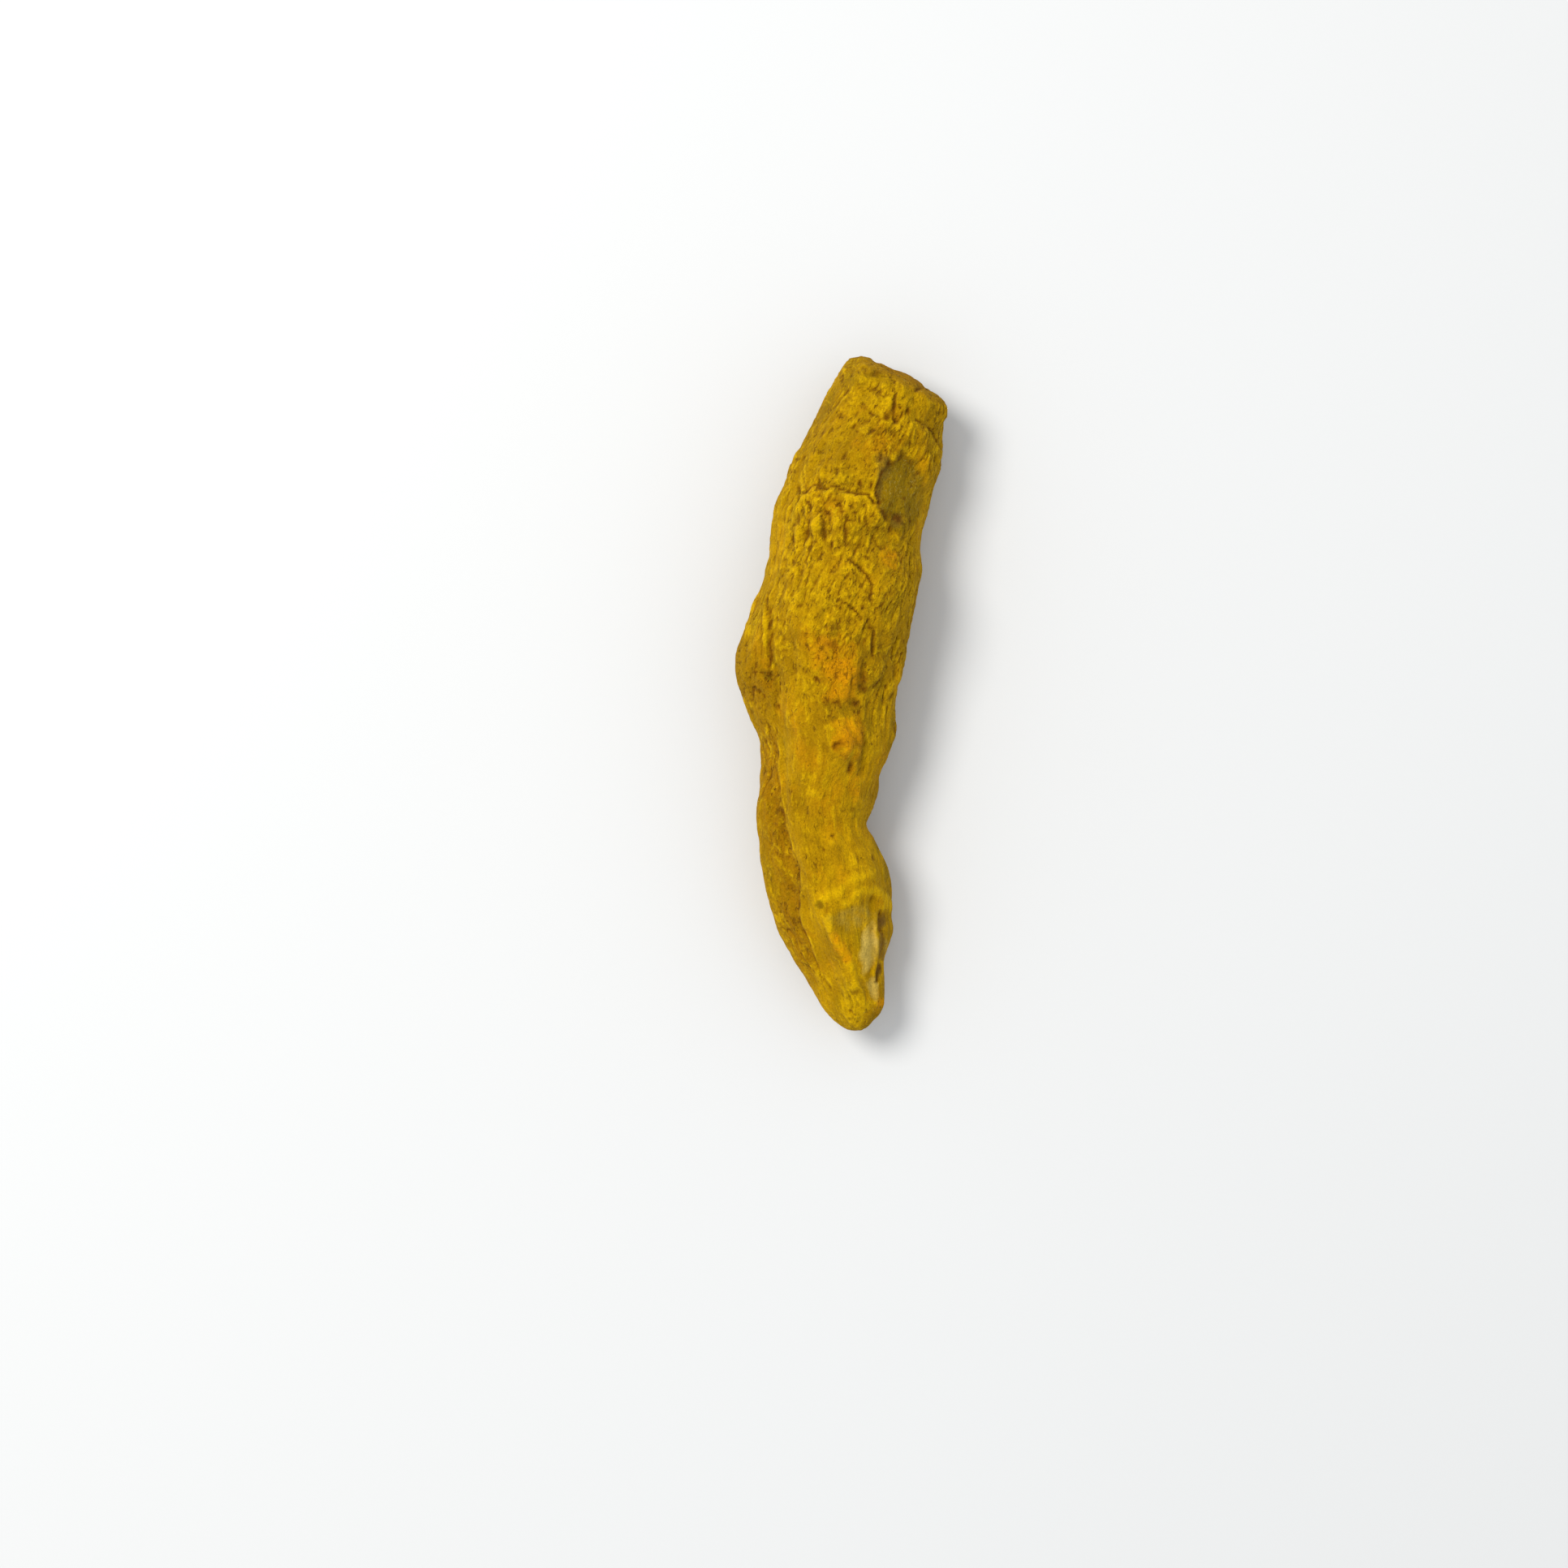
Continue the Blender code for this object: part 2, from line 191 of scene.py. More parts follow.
# Ridges, and grooves with a height below 0: pixels, half width in mm and height in mm
Route = namedtuple("Route", "pixels half_wide height")
ROUTES = [
    Route(CREASE, 0.18, -0.18),
    Route(ARCH, 0.80, 0.25),
    Route(ARCH_FOLD, 0.66, 0.22),
    Route(TIP_RIDGE, 0.55, 0.40),
    Route(SLIT_RIDGE, 0.20, 0.24),
    Route([(1046, 693), (1058, 702), (1068, 712), (1073, 724), (1070, 742)], 0.17, -0.30),
    Route([(1032, 742), (1044, 748), (1054, 757), (1062, 768)], 0.13, -0.18),
    Route([(949, 752), (950, 790), (949, 828)], 0.30, -0.17),
    Route([(944, 738), (945, 752)], 0.16, -0.20),
    Route([(1060, 890), (1063, 925), (1059, 955)], 0.34, -0.15),
    Route([(1073, 776), (1075, 790), (1074, 810)], 0.24, -0.20),
    Route([(1086, 1127), (1086, 1145)], 0.38, -0.34),
    Route([(1089, 1150), (1088, 1180)], 0.48, -0.24),
    Route([(1085, 1190), (1081, 1206)], 0.30, -0.34),
]

# Patches of colour: what they are, half sizes in mm, turn in degrees and strength
Patch = namedtuple("Patch", "kind where half_wide half_long turn strength")
PATCHES = [
    Patch("orange", Above(1036, 836), 2.3, 4.1, -8, 0.80),
    Patch("orange", Above(1043, 906), 1.8, 2.4, 5, 0.85),
    # Patches of paler powder and painted highlight on lumps and ridges that face the light
    Patch("powder_and_highlight", Above(1040, 900), 1.5, 1.4, 0, 1.0),
    Patch("powder_and_highlight", Above(1044, 926), 0.9, 0.8, 0, 1.0),
    Patch("orange", Above(1012, 805), 1.6, 2.2, 0, 0.55),
    Patch("orange", Above(1052, 965), 0.9, 2.0, 0, 0.35),
    Patch("orange", Above(935, 838), 1.8, 2.6, 10, 0.65),
    Patch("orange", Above(1096, 690), 1.2, 1.2, 0, 0.45),
    Patch("orange", Above(1064, 553), 1.6, 1.0, 10, 0.35),
    Patch("orange", Above(1035, 1165), 0.7, 2.2, -28, 0.50),
    Patch("powder_and_highlight", Above(1047, 1195), 0.8, 2.0, -12, 0.8),
    Patch("powder_and_highlight", Above(1062, 1100), 2.0, 0.5, 10, 0.6),
    Patch("orange", Above(1100, 608), 0.7, 0.6, 0, 0.4),
    Patch("orange", Above(1086, 1236), 0.5, 0.5, 0, 0.8),
    Patch("orange", Around(205, 2.0), 2.4, 3.4, 0, 0.60),
    Patch("orange", Around(300, 6.0), 2.2, 2.8, 0, 0.50),
    Patch("orange", Around(340, -18.0), 1.8, 3.6, 0, 0.45),
    Patch("orange", Around(250, -24.0), 2.0, 3.0, 0, 0.45),
    Patch("rust", Above(1026, 797), 0.9, 0.6, 20, 0.75),
    Patch("rust", Above(1058, 598), 0.4, 0.3, 0, 0.7),
    Patch("rust", Above(1104, 514), 1.3, 0.9, 10, 0.5),
    Patch("rust", Above(1064, 508), 0.8, 0.6, 0, 0.4),
    Patch("rust", Above(1031, 919), 0.8, 0.5, -30, 0.85),
    Patch("rust", Above(1129, 702), 0.3, 0.5, 0, 0.7),
    Patch("rust", Above(959, 871), 0.3, 0.3, 0, 0.9),
    Patch("rust", Above(938, 848), 1.5, 1.5, 25, 0.55),
    Patch("rust", Above(1054, 868), 0.9, 0.9, 0, 0.45),
    Patch("rust", Above(1059, 838), 0.9, 1.5, 5, 0.50),
    Patch("rust", Above(1010, 838), 0.9, 0.5, 30, 0.50),
    Patch("rust", Above(1053, 940), 0.7, 1.2, 0, 0.35),
    Patch("rust", Around(195, 0.5), 1.8, 1.6, 0, 0.5),
    Patch("rust", Around(262, 22.0), 1.2, 2.0, 0, 0.5),
    # Greenish patches: painted shade in dips and hollows, partly a real greenish tinge of the skin
    Patch("olive_shade", Above(1106, 648), 0.9, 1.2, -35, 0.7),
    # Painted shadow on the scar's floor under its rim
    Patch("shadow", Above(1089, 578), 0.9, 1.5, -25, 0.55),
    Patch("shadow", Above(1083, 603), 0.4, 1.7, 0, 0.6),
    Patch("shadow", Above(1104, 645), 0.8, 0.7, -35, 0.6),
    Patch("shadow", Above(1125, 590), 0.5, 1.2, 0, 0.25),
    Patch("olive_shade", Above(1079, 464), 1.1, 0.5, -12, 0.45),
    Patch("olive_shade", Above(1116, 470), 0.9, 0.4, -30, 0.35),
    Patch("olive_shade", Above(1083, 1038), 0.8, 1.6, 12, 0.6),
    Patch("olive_shade", Above(1092, 1072), 0.5, 1.4, 0, 0.5),
    Patch("olive_shade", Above(1063, 849), 0.8, 0.8, 0, 0.55),
    Patch("olive_shade", Above(1040, 871), 2.2, 0.9, 0, 0.5),
    Patch("olive_shade", Above(1011, 1114), 0.5, 0.5, 0, 0.6),
    Patch("olive_shade", Above(945, 832), 0.9, 0.7, 0, 0.5),
    Patch("olive_shade", Above(1048, 1130), 2.7, 1.5, -12, 0.36),
    Patch("olive_shade", Above(1060, 1156), 0.9, 1.6, 0, 0.36),
    Patch("worn", Above(1049, 1131), 2.8, 1.4, -12, 0.19),
    Patch("olive_shade", Around(8, -3.0), 1.4, 3.5, 0, 0.4),
    Patch("olive_shade", Around(230, -17.0), 1.6, 3.0, 0, 0.5),
    Patch("worn", Above(1070, 1167), 0.95, 2.6, 4, 1.0),
    Patch("worn", Above(1076, 1218), 0.65, 1.3, -14, 0.75),
    Patch("worn", Above(1093, 1165), 0.20, 1.1, 0, 0.45),
    Patch("worn", Above(1076, 1145), 0.5, 0.9, 0, 0.4),
    Patch("worn", Around(275, 18.0), 1.0, 1.6, 0, 0.5),
    Patch("worn", Around(278, -20.5), 0.9, 1.4, 0, 0.5),
    Patch("bare", Above(1087, 1136), 0.50, 1.0, 0, 0.95),
    Patch("bare", Above(1088, 1165), 0.55, 1.9, 0, 0.62),
    Patch("bare", Above(1083, 1198), 0.38, 0.95, 8, 0.9),
    # Patches of painted shade on the knob, in the dips and beside the ledge, partly duller skin
    Patch("dull_shade", Above(926, 838), 2.4, 2.6, 20, 0.85),
    Patch("dull_shade", Above(913, 812), 1.6, 3.2, 0, 0.85),
    Patch("dull_shade", Above(943, 866), 1.8, 2.4, 20, 0.8),
    Patch("dull_shade", Above(1004, 1036), 0.7, 1.1, -20, 0.55),
    Patch("dull_shade", Above(1028, 1052), 0.9, 1.3, -20, 0.60),
    Patch("dull_shade", Above(1052, 1040), 0.7, 0.9, 10, 0.50),
    Patch("dull_shade", Above(1012, 953), 0.6, 1.4, 0, 0.50),
    Patch("dull_shade", Above(1046, 974), 0.5, 1.2, 0, 0.45),
    Patch("dull_shade", Above(1000, 908), 0.6, 1.2, 0, 0.45),
    Patch("dull_shade", Above(945, 1010), 1.6, 6.0, -5, 0.4),
    Patch("dull_shade", Above(972, 1115), 1.1, 5.0, -15, 0.8),
    Patch("dull_shade", Above(1035, 550), 4.6, 3.2, 15, 0.35),
    Patch("dull_shade", Above(1090, 452), 3.2, 0.9, -18, 0.6),
    Patch("dull_shade", Above(1150, 520), 1.0, 1.6, 0, 0.4),
    Patch("dull_shade", Above(1060, 862), 1.4, 2.6, 0, 0.5),
    # More paler powder and painted highlight on lumps and ridges that face the light
    Patch("powder_and_highlight", Above(1005, 646), 0.5, 1.1, 4, 1.0),
    Patch("powder_and_highlight", Above(1030, 643), 0.7, 1.0, 4, 0.9),
    Patch("powder_and_highlight", Above(986, 654), 0.45, 0.9, 8, 1.0),
    Patch("powder_and_highlight", Above(1006, 630), 2.4, 0.6, 0, 0.6),
    Patch("powder_and_highlight", Above(1052, 1240), 2.2, 2.4, 0, 1.0),
    Patch("powder_and_highlight", Above(1048, 1180), 1.8, 3.0, -25, 0.5),
    Patch("powder_and_highlight", Above(1050, 690), 2.2, 1.6, 0, 0.3),
    Patch("powder_and_highlight", Above(927, 785), 1.1, 2.0, 0, 0.7),
    Patch("powder_and_highlight", Above(1060, 1088), 2.0, 0.6, 22, 0.55),
    Patch("powder_and_highlight", Above(990, 1150), 0.8, 2.4, -18, 0.3),
    Patch("powder_and_highlight", Above(1005, 960), 2.0, 5.0, 0, 0.25),
]
PATCH_KINDS = ["orange", "rust", "dull_shade", "olive_shade", "shadow", "worn", "bare", "powder_and_highlight"]
# How ragged a patch's edge is, in shares of its size
PATCH_EDGE = 0.45

# How wrinkled the skin is: spots seen from above where it is smoother or rougher than the rest
Rough = namedtuple("Rough", "where half_wide half_long turn amount")
ROUGHNESS_SPOTS = [
    Rough(Above(1025, 655), 6.0, 4.2, 0, 0.40),
    Rough(Above(1045, 750), 3.4, 2.4, 0, 0.35),
    Rough(Above(1060, 850), 1.8, 2.4, 0, 0.45),
    Rough(Above(1045, 917), 1.9, 2.6, 0, 0.35),
    Rough(Above(962, 660), 1.6, 6.0, 10, -0.40),
    Rough(Above(1137, 670), 1.4, 6.0, 6, -0.35),
    Rough(Above(935, 790), 2.4, 2.6, 0, -0.35),
    Rough(Above(1066, 1150), 4.0, 5.0, 0, -0.25),
    Rough(Above(942, 850), 2.2, 2.6, 0, 0.45),
    Rough(Above(1128, 500), 1.6, 2.0, 0, -0.20),
]
# How wrinkled the skin is on the tip's half and on the cut end's half
WRINKLED_LOW = 0.20
WRINKLED_HIGH = 0.66

# Waves of relief: their size in mm round and along the finger, and a number that sets each apart
Wave = namedtuple("Wave", "across along seed")
SWIRL = Wave(5.0, 9.0, 1)
LEAN = Wave(4.0, 7.0, 2)
WRINKLED = Wave(4.0, 7.0, 3)
WOBBLE = Wave(0.9, 1.3, 4)
STREAKS = Wave(1.25, 4.6, 11)
FLAKES = Wave(1.5, 3.0, 12)
CRACKED = Wave(2.6, 3.8, 13)
SHORT_CRACKS = Wave(1.5, 2.6, 14)
CRUMB = Wave(0.70, 1.1, 15)
SWELLS = Wave(3.0, 4.6, 17)
CUT_GRAIN = Wave(0.55, 0.55, 21)
SCAR_FIBRES = Wave(0.45, 0.9, 22)
CRUST = Wave(1.30, 3.1, 31)
CRACK_GAPE = Wave(1.1, 3.0, 41)
SCAR_EDGE = Wave(2.0, 2.0, 42)
CUT_EDGE = Wave(2.2, 2.2, 43)

# Each octave of noise is this much finer than the last. A lump's is also this much lower, and how fast
# the other noise's octaves get lower is the last number
FINER = 2.1
LOWER = 0.55
FRACTAL_FALL = 0.75

# How far in mm the streaks sway from straight, and how far a route wobbles
SWAY = (1.5, 1.2, 1.5)
ROUTE_WOBBLE = 0.22

# Heights of the relief in mm. A pair is for smooth skin, and what fully wrinkled skin adds to it
SWELL_HEIGHT = 0.09
STREAK_HEIGHT = (0.06, 0.06)
CRUST_HEIGHT = (0.01, 0.38)
CRUMB_HEIGHT = (0.008, 0.075)
FLAKE_HEIGHT = 0.07
SHORT_CRACK_DEPTH = 0.15
CRACK_LIP = 0.15
CRACK_DEPTH = 0.36
LEDGE_DROP = 0.38
SCAR_LIP = 0.08
SCAR_DEPTH = 0.26
SCAR_FIBRE_HEIGHT = 0.05
CUT_GRAIN_HEIGHT = 0.07

# The cut face's ring: how far out it runs and its half width in shares of the face, and its depth in mm
RING = 0.62
RING_HALF = 0.07
RING_DEPTH = 0.14

# The share of a pit's depth that is cut, and the depth in mm from which its floor takes the full painted
# shade
PIT_SHARE = 0.8
FULL_PIT = 0.30
# A point this far in mm under the skin round it counts as fully hollow
FULL_HOLLOW = 0.08
BLUR_ROUNDS = 6
# The half width in mm of the paler powder and painted highlight along the tip's ridges
HIGHLIGHT_CREST_HALF = 0.60
# In mm, how low a point has to be to stay on the floor, and how far inside its sides the box holds points
FLAT_HEIGHT = 0.02
SOFT_EDGE = 0.12

# The material's noises: the size of their waves in mm, detail, roughness and distortion
Grain = namedtuple("Grain", "size detail roughness distortion")
TONE = Grain(6.5, 2.0, 0.6, 0.0)
WARMTH = Grain(4.2, 2.0, 0.6, 0.0)
POWDER = Grain(0.95, 5.0, 0.70, 0.5)
FIBRES = Grain(0.60, 3.0, 0.6, 0.4)
PATCHINESS = Grain(1.1, 3.0, 0.65, 0.0)
SCAR_GRAIN = Grain(0.55, 5.0, 0.75, 0.0)
FLECKS = Grain(0.42, 2.0, 0.6, 1.6)
PITH = Grain(0.8, 5.0, 0.7, 0.0)
CREASES = Grain(0.85, 3.0, 0.55, 0.35)
DASHES = Grain(0.36, 2.0, 0.6, 1.0)
FINE_GRAIN = Grain(0.22, 2.0, 0.75, 0.0)

# How the noises are drawn out along the finger: the smaller the middle number, the longer
DRAWN_OUT = (1.0, 0.70, 1.0)
WARMTH_SHAPE = (1.0, 0.7, 1.3)
FIBRE_SHAPE = (1.0, 0.16, 1.0)
FLECK_SHAPE = (1.5, 0.8, 1.5)
DASH_SHAPE = (1.0, 0.50, 1.0)

# The stage, in metres: the floor's half size, the lamp's place and width, and the camera's film
FLOOR_HALF = 3.0
LAMP_PLACE = (-0.27, 0.17, 0.52)
LAMP_WIDTH = 0.26
LAMP_COLOUR = (1.0, 0.985, 0.96)
SKY_COLOUR = (0.93, 0.96, 1.0, 1.0)
SENSOR_WIDTH = 36.0


def unit(vector):
    return np.asarray(vector, float) / np.linalg.norm(vector)


def smooth_step(x, low, high):
    t = np.clip((x - low) / (high - low), 0.0, 1.0)
    return t * t * (3 - 2 * t)


def bump(x, half):
    return np.exp(-((x / half) ** 2))


def plan(pixel):
    """A pixel of the photograph as millimetres (x, y) over the finger."""
    return (pixel[0] - MIDDLE_PIXEL[0]) / PIXELS_PER_MM, (MIDDLE_PIXEL[1] - pixel[1]) / PIXELS_PER_MM


def wave_steps(places, wave):
    """The places counted in a wave's sizes, and shifted by its own number."""
    size = np.array([wave.across, wave.along, wave.across])
    shift = wave.seed * np.array([7.31, 3.17, 5.73])
    return (places / size + shift).tolist()


def waves(places, wave):
    """Blender's noise, about -1 to 1, at each place."""
    return np.array([noise.noise(place) for place in wave_steps(places, wave)])


def fractal(places, wave, octaves=3):
    """Noise of several sizes on each other, the coarsest of them the wave's."""
    steps = wave_steps(places, wave)
    return np.array([noise.fractal(place, FRACTAL_FALL, FINER, octaves) for place in steps])


def lumps(places, wave, octaves=3):
    """Rounded lumps with sharp creases between them, 0 in a crease and about 0.5 on a lump."""
    total = np.zeros(len(places))
    for octave in range(octaves):
        finer = wave._replace(seed=wave.seed + octave)
        total += LOWER**octave * np.abs(waves(places * FINER**octave, finer))
    return total


def clefts(value, half):
    """1 along the lines where value passes through 0, falling to 0 on both sides of them."""
    return 1 - np.minimum(1.0, np.abs(value) / half)


def by_rough(pair, rough):
    """A height that grows from smooth to wrinkled skin."""
    return pair[0] + pair[1] * rough


def read_vectors(points, name):
    """A vector of each of a mesh's points, as rows."""
    values = np.empty(len(points) * 3)
    points.foreach_get(name, values)
    return values.reshape(-1, 3)


class Skin:
    """The points of the finger's surface in millimetres, and what a mark has to know of each."""

    def __init__(self, mesh):
        self.place = read_vectors(mesh.vertices, "co") / MM
        self.normal = read_vectors(mesh.vertices, "normal")
        self.edges = np.empty(len(mesh.edges) * 2, np.int32)
        mesh.edges.foreach_get("vertices", self.edges)
        self.edges = self.edges.reshape(-1, 2)
        self.find_centreline()
        self.wobble = waves(self.straight, WOBBLE)
        swirl = waves(self.straight, SWIRL)
        lean = waves(self.straight, LEAN)
        self.flowing = self.straight + np.stack([swirl, lean, lean], 1) * SWAY

    def find_centreline(self):
        """The finger straightened: each place is measured from the middle of its own slice along Y."""
        along = self.place[:, 1]
        stations = np.linspace(along.min(), along.max(), 25)
        half = (stations[1] - stations[0]) * 0.75
        middles = []
        for station in stations:
            slice_ = self.place[np.abs(along - station) < half]
            middles.append((slice_.max(0) + slice_.min(0)) / 2)
        middles = np.array(middles)
        across = np.interp(along, stations, middles[:, 0])
        height = np.interp(along, stations, middles[:, 2])
        self.straight = self.place - np.stack([across, np.zeros_like(along), height], 1)
        self.radius = np.maximum(np.hypot(self.straight[:, 0], self.straight[:, 2]), 0.5)
        self.side = np.arctan2(self.straight[:, 2], self.straight[:, 0])
        self.upper = smooth_step(self.straight[:, 2], -1.5, 1.0)

    def anchor(self, where):
        """The place and the normal of the skin's point that a mark is centred on."""
        if isinstance(where, Above):
            x, y = plan(where)
            off = np.hypot(self.place[:, 0] - x, self.place[:, 1] - y)
            off[self.normal[:, 2] < 0.1] = np.inf
        else:
            turned = (self.side - math.radians(where.side) + math.pi) % (2 * math.pi) - math.pi
            off = np.hypot(self.radius * turned, self.place[:, 1] - where.along)
        nearest = int(off.argmin())
        return self.place[nearest], self.normal[nearest]

    def on_mark(self, mark):
        """Each point's place across, along and deep in a mark, in shares of the mark's half sizes."""
        point, up = self.anchor(mark.where)
        if isinstance(mark.where, Above):
            up = np.array([0.0, 0.0, 1.0])
            point = np.array([*plan(mark.where), point[2]])
        ahead = unit(np.array([0.0, 1.0, 0.0]) - up * up[1])
        across = np.cross(ahead, up)
        off = self.place - point
        turn = math.radians(getattr(mark, "turn", 0.0))
        u = off @ across
        v = off @ ahead
        wide = (u * math.cos(turn) - v * math.sin(turn)) / mark.half_wide
        long_ = (v * math.cos(turn) + u * math.sin(turn)) / mark.half_long
        deep = (off @ up) / (2 * max(mark.half_wide, mark.half_long) + 2.0)
        return wide, long_, deep

    def from_mark(self, mark):
        """How far each point is from a mark's middle, in shares of its half sizes."""
        wide, long_, deep = self.on_mark(mark)
        return np.sqrt(wide**2 + long_**2 + deep**2)

    def from_route(self, pixels):
        """Millimetres from a route as seen from above, below 0 to the right of its direction."""
        points = np.array([plan(pixel) for pixel in pixels])
        wobble = ROUTE_WOBBLE * self.wobble
        here = self.place[:, :2] + np.stack([wobble, -wobble], 1)
        best = np.full(len(here), np.inf)
        signed = np.zeros(len(here))
        for start, end in zip(points[:-1], points[1:]):
            run = end - start
            off = here - start
            t = np.clip(off @ run / (run @ run), 0, 1)
            gap = off - t[:, None] * run
            far = np.hypot(gap[:, 0], gap[:, 1])
            nearer = far < best
            best[nearer] = far[nearer]
            turned = run[0] * off[:, 1] - run[1] * off[:, 0]
            signed[nearer] = np.where(turned[nearer] > 0, far[nearer], -far[nearer])
        return signed

    def blurred(self, values, rounds):
        """The values evened out with their neighbours' along the edges."""
        ties = np.bincount(self.edges.ravel(), minlength=len(values))
        for _ in range(rounds):
            total = np.bincount(self.edges[:, 0], values[self.edges[:, 1]], len(values))
            total += np.bincount(self.edges[:, 1], values[self.edges[:, 0]], len(values))
            values = 0.5 * values + 0.5 * total / np.maximum(ties, 1)
        return values


def wrinkledness(skin):
    """How wrinkled each point is, from about 0 on smooth skin to about 1."""
    amount = WRINKLED_LOW + (WRINKLED_HIGH - WRINKLED_LOW) * smooth_step(skin.place[:, 1], -8.0, 3.0)
    for spot in ROUGHNESS_SPOTS:
        amount += spot.amount * bump(skin.from_mark(spot), 1.0)
    amount += 0.24 * waves(skin.straight, WRINKLED) + 0.50 * ledge_band(skin)
    return np.clip(amount, 0.05, 1.2)


def along_ledge(skin, fades_from):
    """1 beside the ledge and 0 past its ends. Towards the cut end it fades from the place given."""
    along = skin.place[:, 1]
    return smooth_step(along, -33.0, -28.0) * (1 - smooth_step(along, fades_from, -2.0))


def ledge_band(skin):
    """1 on the rough band just left of the ledge, seen from above."""
    signed = -skin.from_route(LEDGE)
    band = smooth_step(signed, 0.0, 0.30) * (1 - smooth_step(signed, 1.2, 3.4))
    return band * along_ledge(skin, -6.0) * skin.upper


def ledge_relief(skin):
    """The long ledge on the left: a sharp drop from the body onto the rough band beside it."""
    signed = -skin.from_route(LEDGE)
    drop = smooth_step(signed, -0.20, 0.25) * (1 - smooth_step(signed, 0.5, 2.6))
    return -LEDGE_DROP * drop * along_ledge(skin, -7.0) * skin.upper


def skin_relief(skin, rough):
    """Swells, streaks along the finger, flakes, crust, crumb, and short cracks in the rough places."""
    flow = skin.flowing
    flakes = smooth_step(fractal(flow, FLAKES), -0.12, 0.18)
    cracked = smooth_step(waves(skin.straight, CRACKED), 0.02, 0.35)
    short_cracks = clefts(fractal(flow, SHORT_CRACKS, 2), 0.085) * cracked
    relief = SWELL_HEIGHT * waves(skin.straight, SWELLS)
    relief += by_rough(STREAK_HEIGHT, rough) * fractal(flow, STREAKS)
    relief += rough * (FLAKE_HEIGHT * flakes - SHORT_CRACK_DEPTH * short_cracks)
    relief += by_rough(CRUST_HEIGHT, rough) * (lumps(flow, CRUST) - 0.3)
    return relief + by_rough(CRUMB_HEIGHT, rough) * fractal(flow, CRUMB)


def mark_relief(skin):
    """(the relief of the pits, lumps and routes, how much painted shade each point gets in the pits and
    grooves).
    """
    relief = np.zeros(len(skin.place))
    pitted = np.zeros(len(skin.place))
    for pit in PITS:
        within = bump(skin.from_mark(pit) + 0.35 * skin.wobble, 1.0)
        relief -= PIT_SHARE * pit.depth * within
        pitted = np.maximum(pitted, within * min(1.0, pit.depth / FULL_PIT))
    for lump in LUMPS:
        relief += lump.height * bump(skin.from_mark(lump) + 0.25 * skin.wobble, 1.0)
    for route in ROUTES:
        within = bump(skin.from_route(route.pixels), route.half_wide) * skin.upper
        relief += route.height * within
        # Painted shade in a groove, darker the deeper it is
        brown = 0.6 * min(1.0, max(0.0, -route.height) / FULL_PIT)
        pitted = np.maximum(pitted, brown * within)
    return relief, pitted


def crack_relief(skin):
    """(relief, groove) of the crack right across: its lip on the tip's side stands up."""
    signed = skin.from_route(CRACK)
    gape = 0.50 + 0.50 * smooth_step(waves(skin.straight, CRACK_GAPE), -0.30, 0.20)
    groove = gape * bump(signed, 0.15) * skin.upper
    lip = bump(signed + 0.55, 0.45) * (signed < 0) * skin.upper
    return CRACK_LIP * lip - CRACK_DEPTH * groove, groove


def scar_masks(skin):
    """(floors, lips, painted shadow under the lips) of the scars, each from 0 to 1."""
    floors = np.zeros(len(skin.place))
    lips = np.zeros(len(skin.place))
    wall_shadows = np.zeros(len(skin.place))
    uneven = 0.10 * skin.wobble + 0.20 * waves(skin.straight, SCAR_EDGE)
    for scar in SCARS:
        wide, long_, deep = skin.on_mark(scar)
        reach = np.sqrt(wide**2 + long_**2 + deep**2) + uneven
        sharp = 0.5 + 0.5 * np.cos(np.arctan2(long_, wide) - math.radians(scar.sharpest))
        floors = np.maximum(floors, 1 - smooth_step(reach, 0.58 + 0.38 * sharp, 1.06))
        lips = np.maximum(lips, sharp**2 * bump(reach - 1.10, 0.12))
        wall_shadows = np.maximum(wall_shadows, sharp**2 * bump(reach - 0.95, 0.07))
    return floors, lips, wall_shadows


def cut_masks(skin):
    """(how much of a point is cut face, how far it is from the face's middle in shares of its size)."""
    turn = math.radians(CUT_TURN)
    lean = math.radians(CUT_LEAN)
    out = np.array([math.sin(turn) * math.cos(lean), math.cos(turn) * math.cos(lean), math.sin(lean)])
    depth = (skin.place @ out).max() - skin.place @ out
    facing = skin.normal @ out
    cut = smooth_step(facing, 0.50, 0.82) * (1 - smooth_step(depth, 2.2, 3.2))
    face = skin.place[(depth < 2.0) & (facing > 0.8)]
    off = skin.place - (face.max(0) + face.min(0)) / 2
    off -= np.outer(off @ out, out)
    size = np.percentile(np.linalg.norm(off[(depth < 2.0) & (facing > 0.7)], axis=1), 97)
    uneven = 0.10 * waves(skin.straight, CUT_EDGE) + 0.03 * skin.wobble
    return cut, np.linalg.norm(off, axis=1) / size + uneven


def patch_mask(skin, kind):
    """How much of one kind of patch each point is."""
    amount = np.zeros(len(skin.place))
    for patch in PATCHES:
        if patch.kind == kind:
            reach = skin.from_mark(patch) + PATCH_EDGE * skin.wobble
            amount = np.maximum(amount, patch.strength * (1 - smooth_step(reach, 0.45, 1.25)))
    # Along the ridges' crests: paler powder and painted highlight
    if kind == "powder_and_highlight":
        for crest in (ARCH, ARCH_FOLD, TIP_RIDGE):
            along_crest = bump(skin.from_route(crest), HIGHLIGHT_CREST_HALF) * skin.upper
            amount = np.maximum(amount, 0.9 * along_crest)
    return amount


